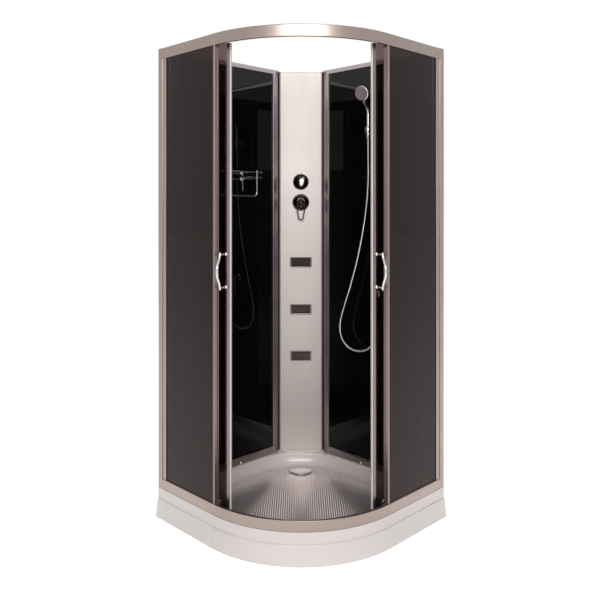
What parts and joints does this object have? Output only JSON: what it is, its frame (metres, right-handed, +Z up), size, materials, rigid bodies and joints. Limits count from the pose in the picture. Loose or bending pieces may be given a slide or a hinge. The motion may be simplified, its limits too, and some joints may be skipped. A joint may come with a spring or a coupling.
{
  "type": "corner shower cabin",
  "caption": "Quadrant corner shower cabin with low tray, sliding curved smoked doors, black wall panels and a column with mixer, body jets, shelf and hand shower.",
  "frame": {"origin": "middle of the bounding box on the floor", "axes": "+Z up, -Y out through the doorway, +X to the right seen from outside; the room corner is at +Y and the two room walls stand at 45 degrees to the axes"},
  "size_m": [1.2728, 1.0619, 2.043],
  "materials": {
    "white_acrylic": "glossy cast acrylic",
    "galvanised_steel": "zinc plated",
    "grey_plastic": "grey extruded plastic",
    "satin_aluminium": "satin anodised, warm champagne silver",
    "smoked_glass": "smoked brown-grey tempered glass",
    "black_glass": "glossy black glass",
    "clear_glass": "clear tempered glass",
    "silver_panel": "satin silver anodised sheet",
    "black_plastic": "black extruded plastic",
    "chrome": "polished chrome",
    "dark_chrome": "dark polished chrome",
    "brass": "cast brass",
    "feed_pipe": "white water pipe",
    "spray_face": "soft grey spray face",
    "white_seal": "white magnetic strip",
    "nylon": "grey nylon"
  },
  "bodies": {
    "root": {"bottom_rail": "satin_aluminium", "column_cover": "silver_panel", "column_end_caps": "satin_aluminium", "column_joint_strips": "black_plastic", "frame_screws": "chrome", "handset_feed_pipe": "feed_pipe", "hose": "chrome", "hose_nut_lower": "chrome", "jet_bezels": "dark_chrome", "jet_feed_pipe": "feed_pipe", "left_adjust_profile": "satin_aluminium", "left_fixed_glass": "smoked_glass", "left_fixed_trim": "satin_aluminium", "left_jamb": "satin_aluminium", "left_wall_frame": "satin_aluminium", "left_wall_glass": "black_glass", "levelling_feet": "galvanised_steel", "mixer_rose": "dark_chrome", "right_adjust_profile": "satin_aluminium", "right_fixed_glass": "smoked_glass", "right_fixed_trim": "satin_aluminium", "right_jamb": "satin_aluminium", "right_wall_frame": "satin_aluminium", "right_wall_glass": "black_glass", "shelf_glass": "clear_glass", "shelf_wire": "chrome", "shower_holder": "chrome", "support_frame": "galvanised_steel", "top_rail": "satin_aluminium", "tray_apron": "white_acrylic", "tray_shell": "white_acrylic", "valve_body": "brass", "wall_elbow": "chrome", "waste_trap": "grey_plastic"},
    "left_door": {"left_door_brackets": "chrome", "left_door_glass": "smoked_glass", "left_door_handle": "chrome", "left_door_lead_profile": "grey_plastic", "left_door_magnetic_seal": "white_seal", "left_door_trail_seal": "grey_plastic"},
    "left_front_roller": {"left_front_roller": "nylon"},
    "left_rear_roller": {"left_rear_roller": "nylon"},
    "right_door": {"right_door_brackets": "chrome", "right_door_glass": "smoked_glass", "right_door_handle": "chrome", "right_door_lead_profile": "grey_plastic", "right_door_magnetic_seal": "white_seal", "right_door_trail_seal": "grey_plastic"},
    "right_front_roller": {"right_front_roller": "nylon"},
    "right_rear_roller": {"right_rear_roller": "nylon"},
    "mixer_hub": {"mixer_hub": "dark_chrome"},
    "mixer_lever": {"mixer_lever": "dark_chrome"},
    "diverter_knob": {"diverter_knob": "dark_chrome"},
    "jet_upper": {"jet_nozzle_upper": "dark_chrome"},
    "jet_middle": {"jet_nozzle_middle": "dark_chrome"},
    "jet_lower": {"jet_nozzle_lower": "dark_chrome"},
    "drain_cover": {"drain_cover": "chrome"},
    "handset": {"handset_body": "chrome", "handset_face": "spray_face", "hose_nut_upper": "chrome"}
  },
  "joints": [
    {"name": "left_door_travel", "type": "hinge", "parent": "root", "child": "left_door", "pos_m": [0.16491, 0.28813, 0], "axis": [0, 0, 1], "range_deg": [0, 22.5]},
    {"name": "right_door_travel", "type": "hinge", "parent": "root", "child": "right_door", "pos_m": [-0.16491, 0.28813, 0], "axis": [0, 0, -1], "range_deg": [0, 22.5]},
    {"name": "left_front_roller_spin", "type": "hinge", "parent": "left_door", "child": "left_front_roller", "pos_m": [-0.34407, -0.33128, 0.1413], "axis": [0.515, 0.8572, 0], "range_deg": [-10, 1497]},
    {"name": "right_front_roller_spin", "type": "hinge", "parent": "right_door", "child": "right_front_roller", "pos_m": [0.34407, -0.33128, 0.1413], "axis": [0.515, -0.8572, 0], "range_deg": [-10, 1497]},
    {"name": "left_rear_roller_spin", "type": "hinge", "parent": "left_door", "child": "left_rear_roller", "pos_m": [-0.50213, -0.17321, 0.1413], "axis": [0.8572, 0.515, 0], "range_deg": [-10, 1528]},
    {"name": "right_rear_roller_spin", "type": "hinge", "parent": "right_door", "child": "right_rear_roller", "pos_m": [0.50213, -0.17321, 0.1413], "axis": [0.8572, -0.515, 0], "range_deg": [-10, 1528]},
    {"name": "mixer_temperature", "type": "hinge", "parent": "root", "child": "mixer_hub", "pos_m": [0, 0.36098, 1.375], "axis": [0, -1, 0], "range_deg": [-50, 50]},
    {"name": "mixer_flow", "type": "hinge", "parent": "mixer_hub", "child": "mixer_lever", "pos_m": [0, 0.34698, 1.375], "axis": [-1, 0, 0], "range_deg": [0, 25]},
    {"name": "diverter_turn", "type": "hinge", "parent": "root", "child": "diverter_knob", "pos_m": [0, 0.36998, 1.479], "axis": [0, -1, 0], "range_deg": [-90, 90]},
    {"name": "jet_upper_tilt", "type": "hinge", "parent": "root", "child": "jet_upper", "pos_m": [0, 0.38098, 1.072], "axis": [1, 0, 0], "range_deg": [-15, 15]},
    {"name": "jet_middle_tilt", "type": "hinge", "parent": "root", "child": "jet_middle", "pos_m": [0, 0.38098, 0.834], "axis": [1, 0, 0], "range_deg": [-15, 15]},
    {"name": "jet_lower_tilt", "type": "hinge", "parent": "root", "child": "jet_lower", "pos_m": [0, 0.38098, 0.599], "axis": [1, 0, 0], "range_deg": [-15, 15]},
    {"name": "drain_cover_lift", "type": "slide", "parent": "root", "child": "drain_cover", "axis": [0, 0, 1], "range_m": [0, 0.06]},
    {"name": "handset_lift", "type": "slide", "parent": "root", "child": "handset", "axis": [0, 0, 1], "range_m": [0, 0.1]}
  ],
  "couplings": [
    {"joint": "left_front_roller_spin", "follows": "left_door_travel", "ratio": 66.09},
    {"joint": "right_front_roller_spin", "follows": "right_door_travel", "ratio": 66.09},
    {"joint": "left_rear_roller_spin", "follows": "left_door_travel", "ratio": 67.448},
    {"joint": "right_rear_roller_spin", "follows": "right_door_travel", "ratio": 67.448}
  ]
}
